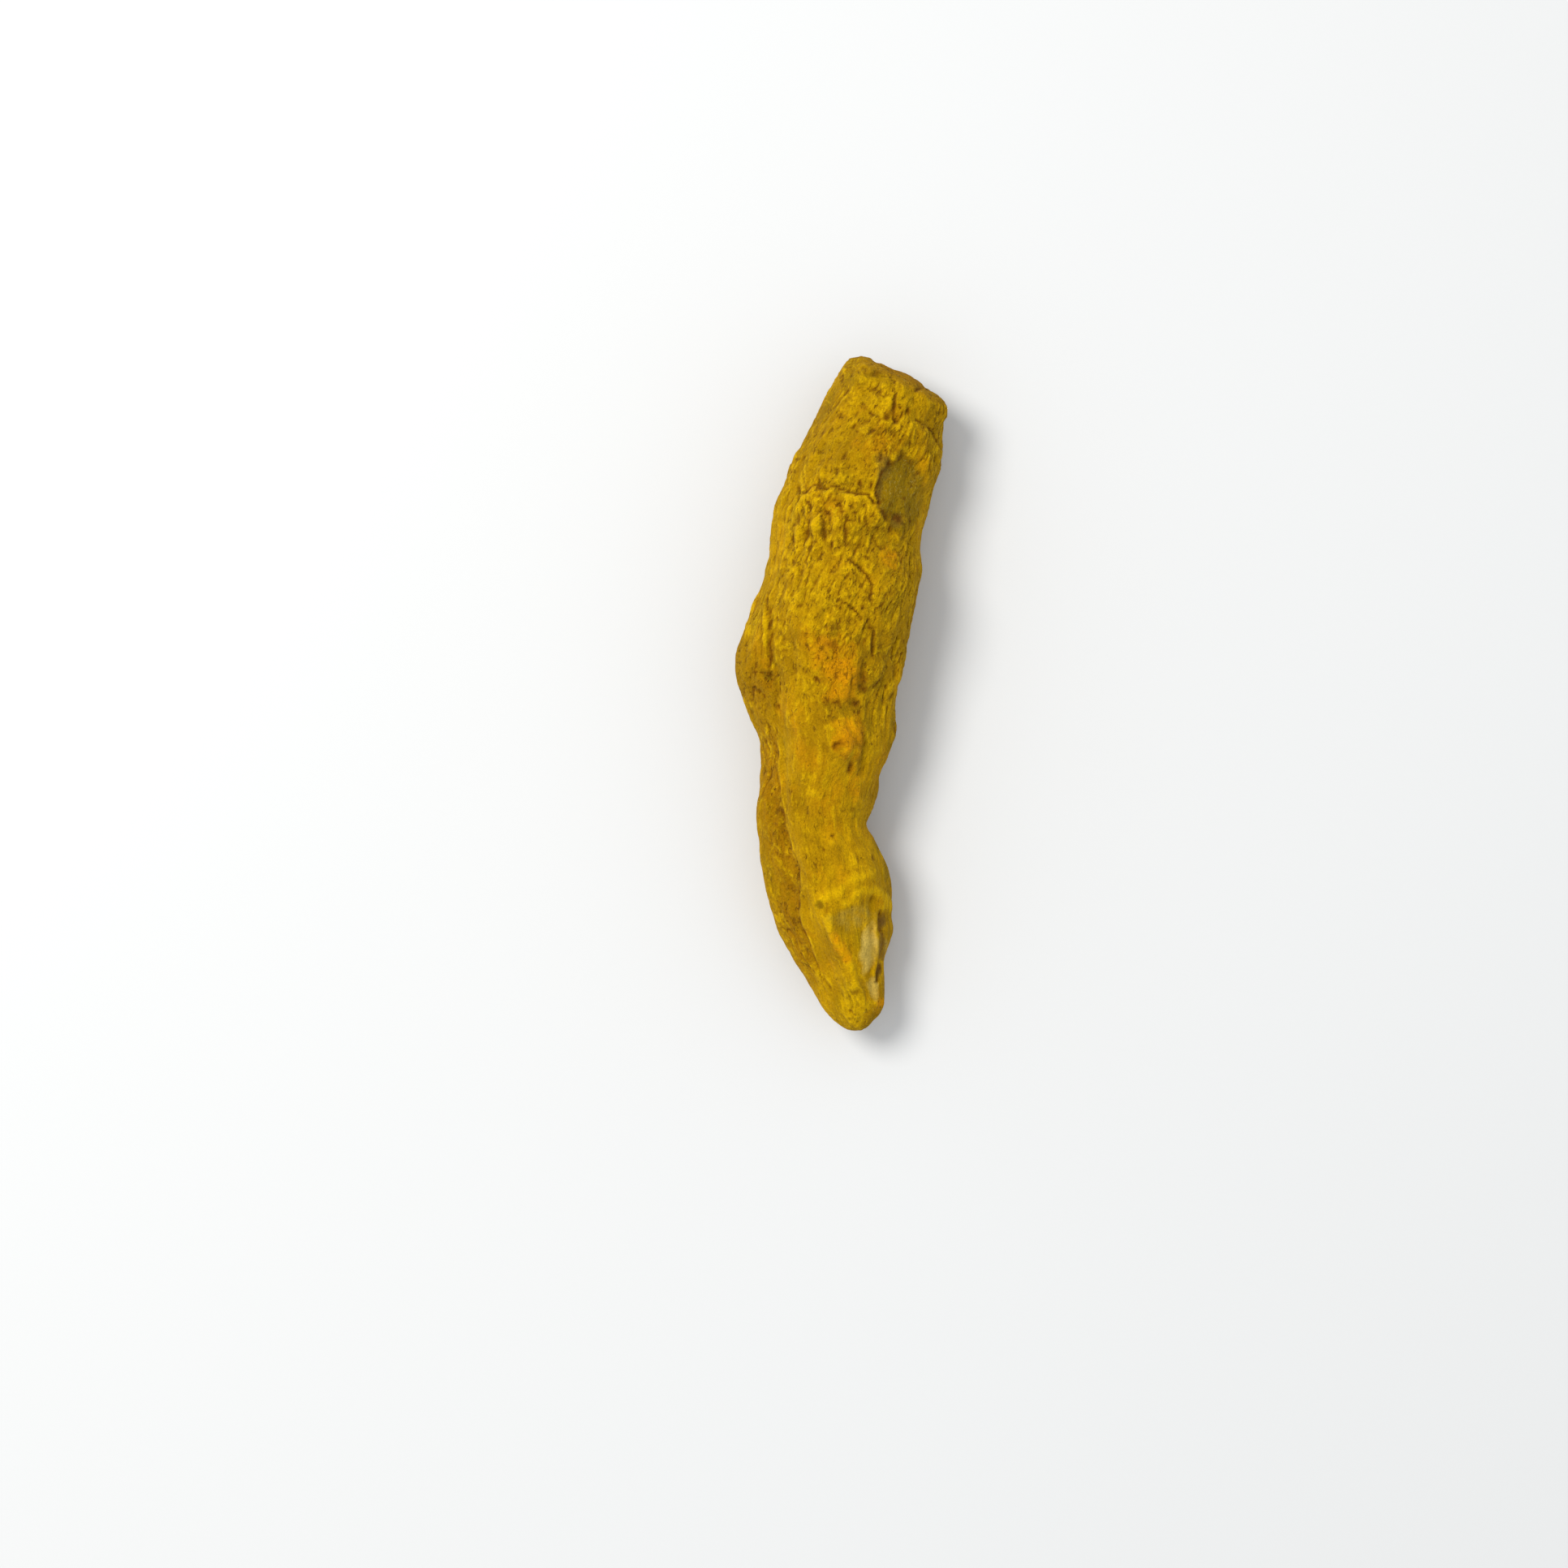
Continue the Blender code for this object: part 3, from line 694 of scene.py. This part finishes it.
def fine_root_mesh(levels):
    """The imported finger's mesh with its faces joined to four corners and subdivided smoothly."""
    made = bmesh.new()
    made.from_mesh(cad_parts[NODE].data)
    bmesh.ops.remove_doubles(made, verts=made.verts, dist=1e-6)
    bmesh.ops.join_triangles(
        made, faces=made.faces, angle_face_threshold=math.pi, angle_shape_threshold=math.pi
    )
    mesh = bpy.data.meshes.new(NODE + "_coarse")
    made.to_mesh(mesh)
    made.free()
    coarse = bpy.data.objects.new(NODE + "_coarse", mesh)
    bpy.context.scene.collection.objects.link(coarse)
    finer = coarse.modifiers.new("finer", "SUBSURF")
    finer.levels = levels
    finer.render_levels = levels
    bpy.context.view_layer.update()
    seen = coarse.evaluated_get(bpy.context.evaluated_depsgraph_get())
    fine = bpy.data.meshes.new_from_object(seen)
    bpy.data.objects.remove(coarse)
    bpy.data.meshes.remove(mesh)
    return fine


def store(mesh, name, values):
    attribute = mesh.attributes.new(name, "FLOAT", "POINT")
    attribute.data.foreach_set("value", np.asarray(values, np.float32))


def store_vectors(mesh, name, values):
    attribute = mesh.attributes.new(name, "FLOAT_VECTOR", "POINT")
    attribute.data.foreach_set("vector", np.asarray(values, np.float32).ravel())


def kept_in(places, low, high):
    """The places in millimetres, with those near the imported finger's box held softly inside it."""
    for axis in range(3):
        values = places[:, axis]
        top = high[axis] / MM - SOFT_EDGE
        values = np.where(values > top, top + SOFT_EDGE * np.tanh((values - top) / SOFT_EDGE), values)
        if axis == 2:
            values = np.maximum(values, low[axis] / MM)
        else:
            bottom = low[axis] / MM + SOFT_EDGE
            held = bottom + SOFT_EDGE * np.tanh((values - bottom) / SOFT_EDGE)
            values = np.where(values < bottom, held, values)
        places[:, axis] = values
    return places


def sculpt(mesh, depth):
    """Moves the fine mesh's points along their normals, and stores what the material reads."""
    skin = Skin(mesh)
    rough = wrinkledness(skin)
    floors, lips, wall_shadows = scar_masks(skin)
    cut, ring = cut_masks(skin)
    marks, pitted = mark_relief(skin)
    cracked, groove = crack_relief(skin)
    plain = 1 - np.maximum(floors, cut)
    relief = skin_relief(skin, rough) * (0.35 + 0.65 * plain)
    relief += marks + cracked + ledge_relief(skin)
    relief += SCAR_LIP * lips - SCAR_DEPTH * floors
    relief += floors * SCAR_FIBRE_HEIGHT * waves(skin.straight, SCAR_FIBRES)
    grain = CUT_GRAIN_HEIGHT * waves(skin.straight, CUT_GRAIN)
    relief += cut * (grain - RING_DEPTH * bump(ring - RING, RING_HALF))
    moved = skin.place + skin.normal * (relief * depth)[:, None]
    low = skin.place[:, 2] < FLAT_HEIGHT
    moved[low, 2] = skin.place[low, 2]
    moved = kept_in(moved, *CAD_BOX)
    mesh.vertices.foreach_set("co", (moved * MM).astype(np.float32).ravel())
    mesh.update()

    # How far each point lies below the skin round it: the material paints shade in hollows and highlight
    # on crests by it
    hollow = skin.blurred(relief, BLUR_ROUNDS) - relief
    store(mesh, "hollow", np.clip(hollow / FULL_HOLLOW, -1, 1))
    store(mesh, "wall_shadow", wall_shadows)
    # Painted shade in the pits, grooves and crack
    store(mesh, "pitted", np.maximum(pitted, 0.75 * groove))
    store(mesh, "scar", floors)
    store(mesh, "cut", cut)
    store(mesh, "cut_ring", ring)
    store(mesh, "band", ledge_band(skin))
    store(mesh, "rough", np.clip(rough, 0, 1))
    store_vectors(mesh, "straight", skin.straight * MM)
    for kind in PATCH_KINDS:
        store(mesh, kind, patch_mask(skin, kind))


def opaque(colour):
    return (*colour, 1.0)


class Nodes:
    """Short ways to add nodes to a material."""

    def __init__(self, material):
        material.use_nodes = True
        self.tree = material.node_tree
        self.tree.nodes.clear()

    def fill(self, node, inputs):
        """Links or sets a node's inputs."""
        for key, value in inputs.items():
            if isinstance(value, bpy.types.NodeSocket):
                self.tree.links.new(value, node.inputs[key])
            else:
                node.inputs[key].default_value = value
        return node

    def put(self, kind, inputs, **settings):
        node = self.tree.nodes.new(kind)
        for name, value in settings.items():
            setattr(node, name, value)
        return self.fill(node, inputs)

    def attribute(self, name, output="Fac"):
        return self.put("ShaderNodeAttribute", {}, attribute_name=name).outputs[output]

    def math(self, operation, a, b=0.0, clamp=False):
        return self.put("ShaderNodeMath", {0: a, 1: b}, operation=operation, use_clamp=clamp).outputs[0]

    def times(self, a, b):
        return self.math("MULTIPLY", a, b)

    def total(self, *values):
        result = values[0]
        for value in values[1:]:
            result = self.math("ADD", result, value)
        return result

    def swung(self, value, amount):
        """A noise about 0 instead of 0.5, times an amount."""
        return self.times(self.math("SUBTRACT", value, 0.5), amount)

    def ramp(self, value, low, high, to_low=0.0, to_high=1.0):
        inputs = {"Value": value, "From Min": low, "From Max": high, "To Min": to_low, "To Max": to_high}
        return self.put("ShaderNodeMapRange", inputs, clamp=True).outputs[0]

    def mix(self, factor, a, b, blend="MIX"):
        inputs = {0: factor, 6: a, 7: b}
        return self.put("ShaderNodeMix", inputs, data_type="RGBA", blend_type=blend).outputs[2]

    def lay(self, below, factor, colour):
        """A plain colour laid over another."""
        return self.mix(factor, below, opaque(colour))

    def stretched(self, coordinates, scale):
        return self.put("ShaderNodeMapping", {"Vector": coordinates, "Scale": scale}).outputs[0]

    def noise(self, coordinates, grain, more=None, **settings):
        """Noise by a grain in millimetres, on coordinates in metres."""
        inputs = {
            "Vector": coordinates,
            "Scale": 1 / (grain.size * MM),
            "Detail": grain.detail,
            "Roughness": grain.roughness,
            "Distortion": grain.distortion,
        }
        inputs.update(more or {})
        return self.put("ShaderNodeTexNoise", inputs, **settings).outputs["Fac"]

    def creases(self, coordinates, grain):
        """A ridged noise: about 0 on the lumps and up to 2 in the creases between them."""
        ridged = {"Offset": 1.0, "Gain": 1.6}
        return self.noise(coordinates, grain, ridged, noise_type="RIDGED_MULTIFRACTAL", normalize=False)


class SkinPaint(Nodes):
    """The skin's colours and finest grain, by stored masks and by noise on the straightened finger."""

    def __init__(self, material, colours):
        super().__init__(material)
        self.colours = colours
        self.place = self.attribute("straight", "Vector")
        self.hollow = self.attribute("hollow")
        self.rough = self.attribute("rough")
        drawn_out = self.stretched(self.place, DRAWN_OUT)
        self.crumb = self.noise(drawn_out, POWDER)
        self.creased = self.creases(drawn_out, CREASES)
        self.fibres = self.noise(self.stretched(self.place, FIBRE_SHAPE), FIBRES)
        self.patchy = self.noise(self.place, PATCHINESS)
        self.grain = self.noise(self.place, FINE_GRAIN)
        self.dashed = self.find_dashes()

    def find_dashes(self):
        """Short cracks, more of them on wrinkled skin and in hollows; the material sinks them and paints
        shade in them.
        """
        dashes = self.total(
            self.noise(self.stretched(self.place, DASH_SHAPE), DASHES),
            self.ramp(self.rough, 0.1, 0.9, -0.07, 0.03),
            self.swung(self.patchy, 0.50),
            self.times(self.hollow, 0.09),
        )
        return self.ramp(dashes, 0.60, 0.76)

    def patch(self, name, broken, most=1.0):
        """A stored mask, broken up by noise, and at most as strong as given."""
        strength = self.attribute(name)
        gate = self.ramp(strength, 0.0, 0.25, 0.0, most)
        uneven = self.math("ADD", strength, self.swung(self.patchy, broken), clamp=True)
        return self.times(uneven, gate)

    def powder(self):
        """Mustard powder in a random tone, with paler powder and painted highlight on crests and painted
        shade between them.
        """
        colours = self.colours
        tone = self.ramp(self.noise(self.place, TONE), 0.36, 0.60)
        colour = self.mix(tone, opaque(colours.shade_colour), opaque(colours.skin_colour))
        warmth = self.noise(self.stretched(self.place, WARMTH_SHAPE), WARMTH)
        colour = self.lay(colour, self.ramp(warmth, 0.54, 0.72, 0.0, 0.45), colours.orange_colour)
        colour = self.lay(colour, self.ramp(warmth, 0.46, 0.32, 0.0, 0.45), colours.olive_and_shade_colour)
        # Crests of the relief get paler powder and painted highlight, and the low places between them get
        # painted shade
        crest = self.total(
            self.swung(self.crumb, self.ramp(self.rough, 0.0, 0.9, 0.40, 1.25)),
            self.swung(self.fibres, self.ramp(self.rough, 0.15, 0.8, 0.55, 0.15)),
            self.times(self.hollow, -0.16),
            self.times(self.attribute("powder_and_highlight"), 0.12),
        )
        colour = self.lay(colour, self.ramp(crest, 0.02, 0.20, 0.0, 0.9), colours.powder_and_highlight_colour)
        return self.lay(colour, self.ramp(crest, -0.02, -0.16, 0.0, 0.6), colours.shade_colour)

    def patches(self, colour):
        """Orange and rusty patches, patches of painted shade that are partly duller skin and partly a
        greenish tinge, and the brown band beside the ledge, with painted shade between its crumbs.
        """
        colours = self.colours
        colour = self.lay(colour, self.patch("orange", 2.2), colours.orange_colour)
        colour = self.lay(colour, self.patch("rust", 1.4), colours.rust_colour)
        # Painted shade, partly duller skin
        colour = self.lay(colour, self.patch("dull_shade", 1.0), colours.shade_colour)
        # The band's own brown, laid thickest in the low places between its crumbs: the band's colour and
        # painted shade
        band = self.times(self.attribute("band"), self.ramp(self.crumb, 0.60, 0.42, 0.10, 1.0))
        colour = self.lay(colour, band, colours.band_colour)
        # Painted shade in dips, partly a greenish tinge
        return self.lay(colour, self.patch("olive_shade", 1.1), colours.olive_and_shade_colour)

    def scars(self, colour):
        """Olive floors with pale flecks, and painted shadow under each lip."""
        colours = self.colours
        floor = self.ramp(self.noise(self.place, SCAR_GRAIN), 0.44, 0.70)
        floor = self.mix(floor, opaque(colours.scar_colour), opaque(colours.olive_and_shade_colour))
        flecks = self.noise(self.stretched(self.place, FLECK_SHAPE), FLECKS)
        floor = self.lay(floor, self.ramp(flecks, 0.60, 0.66, 0.0, 0.75), colours.fleck_colour)
        colour = self.mix(self.times(self.attribute("scar"), 0.88), colour, floor)
        # Painted shadow under each scar's lip
        return self.lay(colour, self.times(self.attribute("wall_shadow"), 0.75), colours.crevice_shade_and_ring_colour)

    def bare_places(self, colour):
        """Painted shadow under the scar's rim, pale places with no powder, and dark bare skin in the
        slits.
        """
        colours = self.colours
        # Painted shadow
        colour = self.lay(colour, self.patch("shadow", 1.2), colours.bare_skin_and_shadow_colour)
        colour = self.lay(colour, self.patch("worn", 0.9), colours.worn_colour)
        return self.lay(colour, self.patch("bare", 0.5), colours.bare_skin_and_shadow_colour)

    def cut_face(self, colour):
        """Pith with a rusty core inside a dark, broken ring."""
        colours = self.colours
        ring = self.attribute("cut_ring")
        face = self.ramp(self.noise(self.place, PITH), 0.35, 0.68)
        face = self.mix(face, opaque(colours.cut_colour), opaque(colours.pith_colour))
        face = self.lay(face, self.ramp(ring, 0.66, 0.54, 0.0, 0.55), colours.rust_colour)
        off_ring = self.math("ABSOLUTE", self.math("SUBTRACT", ring, RING))
        dark = self.ramp(off_ring, RING_HALF, 0.0, 0.0, 0.9)
        dark = self.times(dark, self.ramp(self.patchy, 0.40, 0.62))
        face = self.lay(face, dark, colours.crevice_shade_and_ring_colour)
        return self.mix(self.times(self.attribute("cut"), 0.8), colour, face)

    def clefts(self, colour):
        """Painted shade in the hollows, pits, grooves and short cracks, and a fine grain over everything.
        """
        # Painted shade in hollows
        hollow = self.ramp(self.hollow, 0.22, 1.0, 0.0, 0.85)
        # Painted shade in the short cracks
        deep = self.math("MAXIMUM", hollow, self.times(self.dashed, 0.74))
        # Painted shade in the pits, grooves and crack
        deep = self.math("MAXIMUM", deep, self.patch("pitted", 1.1, 0.80))
        colour = self.lay(colour, deep, self.colours.crevice_shade_and_ring_colour)
        return self.mix(0.55, colour, self.ramp(self.grain, 0.28, 0.72, 0.62, 1.38), "MULTIPLY")

    def height(self):
        """The finest relief, which is too small for the mesh."""
        return self.total(
            self.times(self.crumb, self.ramp(self.rough, 0.0, 0.7, 0.45, 1.0)),
            self.times(self.fibres, self.ramp(self.rough, 0.15, 0.8, 0.65, 0.10)),
            self.times(self.grain, 0.16),
            self.times(self.times(self.creased, self.rough), -0.16),
            self.times(self.dashed, -0.25),
        )


def skin_material(settings):
    """Matt turmeric powder over a dried skin."""
    material = bpy.data.materials.new("dried_turmeric_skin")
    paint = SkinPaint(material, settings)
    colour = paint.powder()
    for layer in (paint.patches, paint.scars, paint.bare_places, paint.cut_face, paint.clefts):
        colour = layer(colour)
    grained = {"Height": paint.height(), "Strength": 1.0, "Distance": settings.powder_bump}
    bumped = paint.put("ShaderNodeBump", grained)
    roughness = paint.ramp(paint.total(paint.crumb, paint.attribute("bare")), 0.3, 1.4, 0.98, 0.72)
    shader = paint.put(
        "ShaderNodeBsdfPrincipled",
        {
            "Base Color": colour,
            "Roughness": roughness,
            "Normal": bumped.outputs[0],
            "Diffuse Roughness": 0.3,
            "Specular IOR Level": 0.04,
            "Sheen Weight": 0.08,
            "Sheen Roughness": 0.45,
            "Sheen Tint": opaque(settings.rim_colour),
        },
    )
    paint.put("ShaderNodeOutputMaterial", {"Surface": shader.outputs[0]})
    return material


class TURMERIC_PG_skin(bpy.types.PropertyGroup):
    """Sizes and colours of the skin."""

    levels: IntProperty(
        name="Levels", description="How often the packed mesh is subdivided", default=2, min=1, max=3
    )
    relief: FloatProperty(
        name="Relief", description="How deep the wrinkles are, as a share of the real depth",
        default=1.0, min=0, max=2,
    )
    powder_bump: FloatProperty(
        name="Powder grain", description="Height of the finest grain",
        default=0.00060, unit="LENGTH", precision=6,
    )
    skin_colour: FloatVectorProperty(
        name="Skin", description="Mustard powder on most of the skin",
        subtype="COLOR", default=(0.433, 0.237, 0.001),
    )
    # Paler powder and painted highlight on crests
    powder_and_highlight_colour: FloatVectorProperty(
        name="Powder", description="Bright powder on crests",
        subtype="COLOR", default=(0.588, 0.350, 0.001),
    )
    # Painted shade between the crests and in the patches of painted shade, and the duller side of the
    # skin's random tone
    shade_colour: FloatVectorProperty(
        name="Shade", description="Duller skin between crests",
        subtype="COLOR", default=(0.303, 0.156, 0.001),
    )
    # Painted shade in hollows, pits, grooves, cracks and under the scars' lips, and the cut face's dark
    # ring
    crevice_shade_and_ring_colour: FloatVectorProperty(
        name="Crevice", description="Brown at the bottom of clefts",
        subtype="COLOR", default=(0.135, 0.043, 0.001),
    )
    orange_colour: FloatVectorProperty(
        name="Orange", description="Orange patches where powder is rubbed thin",
        subtype="COLOR", default=(0.560, 0.240, 0.001),
    )
    rust_colour: FloatVectorProperty(
        name="Rust", description="Rusty spots",
        subtype="COLOR", default=(0.290, 0.115, 0.001),
    )
    band_colour: FloatVectorProperty(
        name="Band", description="The rough band beside the ledge",
        subtype="COLOR", default=(0.315, 0.146, 0.001),
    )
    # A greenish tinge in the skin's random tone and on the scars' floors, and painted shade in dips
    olive_and_shade_colour: FloatVectorProperty(
        name="Olive", description="Olive tinge in dips",
        subtype="COLOR", default=(0.200, 0.125, 0.002),
    )
    scar_colour: FloatVectorProperty(
        name="Scar", description="Floors of the scars",
        subtype="COLOR", default=(0.250, 0.145, 0.002),
    )
    rim_colour: FloatVectorProperty(
        name="Rim", description="Powder seen edge-on",
        subtype="COLOR", default=(0.95, 0.70, 0.18),
    )
    fleck_colour: FloatVectorProperty(
        name="Flecks", description="Pale fibres on the scars",
        subtype="COLOR", default=(0.36, 0.27, 0.06),
    )
    worn_colour: FloatVectorProperty(
        name="Worn", description="Pale places with no powder",
        subtype="COLOR", default=(0.55, 0.38, 0.07),
    )
    # Dark bare skin in the slits, and painted shadow on the scar's floor
    bare_skin_and_shadow_colour: FloatVectorProperty(
        name="Bare", description="Grey-brown bare skin in the slits",
        subtype="COLOR", default=(0.15, 0.085, 0.012),
    )
    cut_colour: FloatVectorProperty(
        name="Cut", description="The cut face",
        subtype="COLOR", default=(0.280, 0.135, 0.002),
    )
    pith_colour: FloatVectorProperty(
        name="Pith", description="Lighter fibres on the cut face",
        subtype="COLOR", default=(0.400, 0.210, 0.003),
    )


class TURMERIC_PG_stage(bpy.types.PropertyGroup):
    """The floor, the light and the camera."""

    floor_colour: FloatVectorProperty(
        name="Floor", description="The pale floor",
        subtype="COLOR", default=(0.66, 0.66, 0.65),
    )
    lamp_power: FloatProperty(
        name="Lamp", description="Power of the soft lamp above the left", default=2.9, unit="POWER"
    )
    sky: FloatProperty(
        name="Sky", description="Strength of the light from all round", default=0.85, min=0
    )
    camera_height: FloatProperty(
        name="Camera height", description="How high the camera is over the floor",
        default=0.60, unit="LENGTH",
    )


class TURMERIC_OT_root(bpy.types.Operator):
    """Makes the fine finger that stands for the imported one"""

    bl_idname = "turmeric.root"
    bl_label = "Finger"

    def execute(self, context):
        settings = context.scene.turmeric_skin
        mesh = fine_root_mesh(settings.levels)
        sculpt(mesh, settings.relief)
        mesh.materials.clear()
        mesh.materials.append(skin_material(settings))
        mesh.shade_smooth()
        root = bpy.data.objects.new("turmeric_root_skin", mesh)
        context.scene.collection.objects.link(root)
        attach(root, BODY)
        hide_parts(NODE)
        return {"FINISHED"}


class TURMERIC_OT_stage(bpy.types.Operator):
    """Makes the pale floor, the soft light and the camera straight above"""

    bl_idname = "turmeric.stage"
    bl_label = "Stage"

    def execute(self, context):
        settings = context.scene.turmeric_stage
        low, high = CAD_BOX
        self.make_floor(context.scene, settings, low.z)
        self.make_light(context.scene, settings)
        self.make_camera(context.scene, settings, (low.z + high.z) / 2)
        context.scene.view_settings.view_transform = "Standard"
        return {"FINISHED"}

    def make_floor(self, scene, settings, height):
        made = bmesh.new()
        bmesh.ops.create_grid(made, x_segments=1, y_segments=1, size=FLOOR_HALF)
        bmesh.ops.translate(made, vec=(0, 0, height), verts=made.verts)
        mesh = bpy.data.meshes.new("floor")
        made.to_mesh(mesh)
        made.free()
        material = bpy.data.materials.new("pale_floor")
        n = Nodes(material)
        shader = n.put(
            "ShaderNodeBsdfPrincipled",
            {"Base Color": opaque(settings.floor_colour), "Roughness": 0.9, "Specular IOR Level": 0.1},
        )
        n.put("ShaderNodeOutputMaterial", {"Surface": shader.outputs[0]})
        mesh.materials.append(material)
        floor = bpy.data.objects.new("floor", mesh)
        scene.collection.objects.link(floor)

    def make_light(self, scene, settings):
        lamp = bpy.data.lights.new("soft_lamp", "AREA")
        lamp.shape = "DISK"
        lamp.size = LAMP_WIDTH
        lamp.energy = settings.lamp_power
        lamp.color = LAMP_COLOUR
        held = bpy.data.objects.new("soft_lamp", lamp)
        held.location = LAMP_PLACE
        held.rotation_mode = "QUATERNION"
        held.rotation_quaternion = held.location.to_track_quat("Z", "Y")
        scene.collection.objects.link(held)
        world = bpy.data.worlds.new("soft_sky")
        world.use_nodes = True
        background = world.node_tree.nodes["Background"]
        background.inputs["Color"].default_value = SKY_COLOUR
        background.inputs["Strength"].default_value = settings.sky
        scene.world = world

    def make_camera(self, scene, settings, middle_height):
        """Straight above the photograph's middle, and as far across as the photograph is there."""
        camera = bpy.data.cameras.new("camera")
        camera.sensor_width = SENSOR_WIDTH
        across = IMAGE_SIDE / PIXELS_PER_MM * MM
        camera.lens = camera.sensor_width * (settings.camera_height - middle_height) / across
        camera.clip_start = 0.01
        held = bpy.data.objects.new("camera", camera)
        x, y = plan((IMAGE_SIDE / 2, IMAGE_SIDE / 2))
        held.location = (x * MM, y * MM, settings.camera_height)
        scene.collection.objects.link(held)
        scene.camera = held


class TURMERIC_PT_panel(bpy.types.Panel):
    """Lists the pieces and their settings."""

    bl_idname = "TURMERIC_PT_panel"
    bl_label = "Turmeric"
    bl_space_type = "VIEW_3D"
    bl_region_type = "UI"
    bl_category = "Turmeric"

    def draw(self, context):
        for settings, operators in (
            (context.scene.turmeric_skin, (TURMERIC_OT_root,)),
            (context.scene.turmeric_stage, (TURMERIC_OT_stage,)),
        ):
            box = self.layout.box()
            for name in settings.__annotations__:
                box.prop(settings, name)
            for operator in operators:
                box.operator(operator.bl_idname)


CLASSES = (TURMERIC_PG_skin, TURMERIC_PG_stage, TURMERIC_OT_root, TURMERIC_OT_stage, TURMERIC_PT_panel)


def register():
    for cls in CLASSES:
        bpy.utils.register_class(cls)
    bpy.types.Scene.turmeric_skin = PointerProperty(type=TURMERIC_PG_skin)
    bpy.types.Scene.turmeric_stage = PointerProperty(type=TURMERIC_PG_stage)


def unregister():
    del bpy.types.Scene.turmeric_skin
    del bpy.types.Scene.turmeric_stage
    for cls in reversed(CLASSES):
        bpy.utils.unregister_class(cls)


def main():
    register()
    bpy.ops.turmeric.root()
    bpy.ops.turmeric.stage()


if __name__ == "__main__":
    main()
